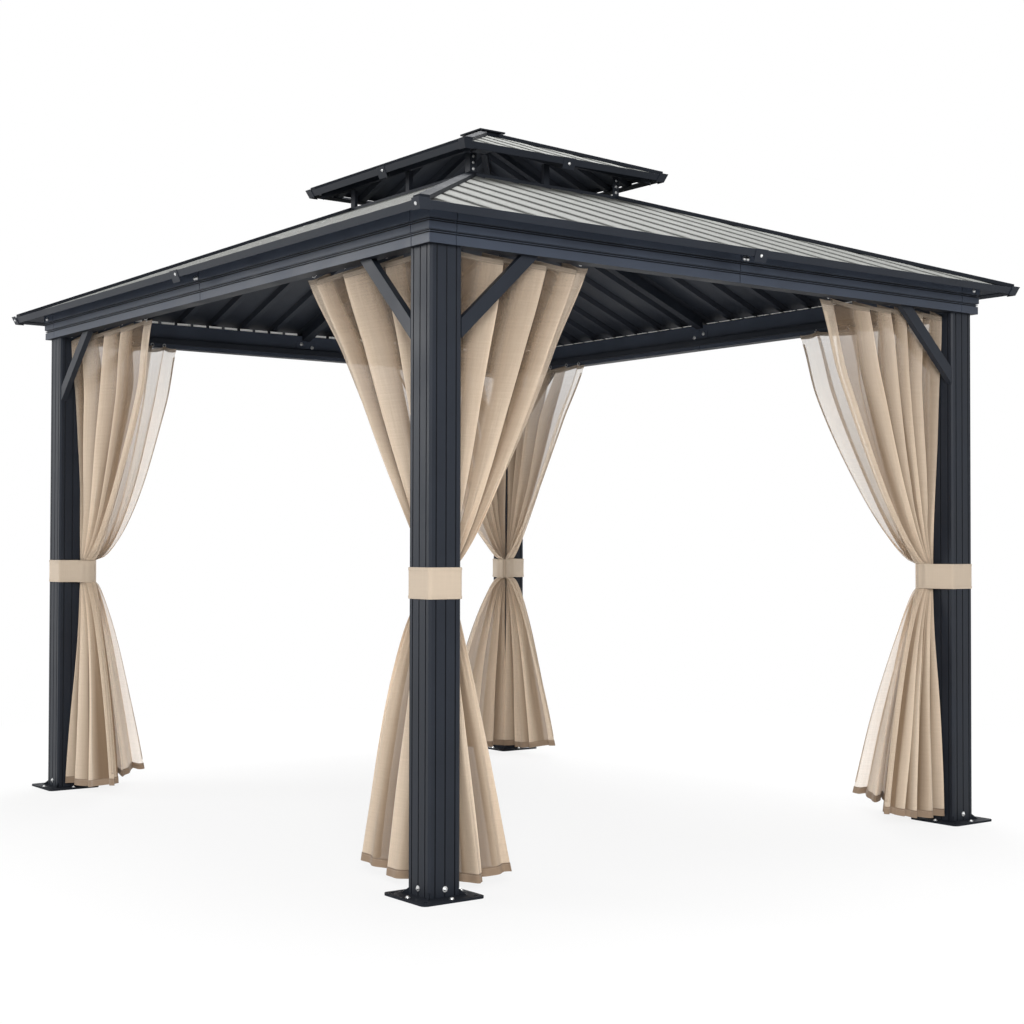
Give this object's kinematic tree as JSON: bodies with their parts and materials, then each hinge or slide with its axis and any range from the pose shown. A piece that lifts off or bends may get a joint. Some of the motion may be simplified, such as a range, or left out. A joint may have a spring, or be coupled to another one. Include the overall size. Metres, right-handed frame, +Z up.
{
  "type": "metal gazebo",
  "caption": "Open hardtop garden gazebo with fluted metal posts, a vented two-tier ribbed metal roof and sheer curtains tied back to the posts.",
  "frame": {"origin": "ground level under the centre of the roof", "axes": "+Z up; +Y along the longer side of the roof, towards the back; +X to the right of the front"},
  "size_m": [3.0356, 3.532, 3.0292],
  "materials": {
    "frame_paint": "charcoal powder coat, satin",
    "roof_sheet": "galvanised ribbed steel sheet, dark underside",
    "curtain_fabric": "sheer beige woven curtain",
    "tie_fabric": "opaque beige woven band"
  },
  "bodies": {
    "root": {"base_plate_back_left": "frame_paint", "base_plate_back_right": "frame_paint", "base_plate_front_left": "frame_paint", "base_plate_front_right": "frame_paint", "beam_back": "frame_paint", "beam_corners": "frame_paint", "beam_front": "frame_paint", "beam_left": "frame_paint", "beam_right": "frame_paint", "beam_splices": "frame_paint", "crown_ring": "frame_paint", "curtain_back_back_left": "curtain_fabric", "curtain_back_back_right": "curtain_fabric", "curtain_front_front_left": "curtain_fabric", "curtain_front_front_right": "curtain_fabric", "curtain_left_back_left": "curtain_fabric", "curtain_left_front_left": "curtain_fabric", "curtain_rails": "frame_paint", "curtain_right_back_right": "curtain_fabric", "curtain_right_front_right": "curtain_fabric", "curtain_ties": "tie_fabric", "eave_clips": "frame_paint", "eave_corner_caps": "frame_paint", "eave_trims": "frame_paint", "hip_covers": "frame_paint", "hip_rafters": "frame_paint", "knee_braces_back": "frame_paint", "knee_braces_front": "frame_paint", "knee_braces_left": "frame_paint", "knee_braces_right": "frame_paint", "mid_rafters": "frame_paint", "post_back_left": "frame_paint", "post_back_right": "frame_paint", "post_front_left": "frame_paint", "post_front_right": "frame_paint", "roof_panel_back": "roof_sheet", "roof_panel_front": "roof_sheet", "roof_panel_left": "roof_sheet", "roof_panel_right": "roof_sheet", "top_cap": "frame_paint", "upper_corner_caps": "frame_paint", "upper_eave_trims": "frame_paint", "upper_hip_covers": "frame_paint", "upper_rafters": "frame_paint", "upper_roof_panels": "roof_sheet", "vent_posts": "frame_paint"}
  },
  "joints": []
}
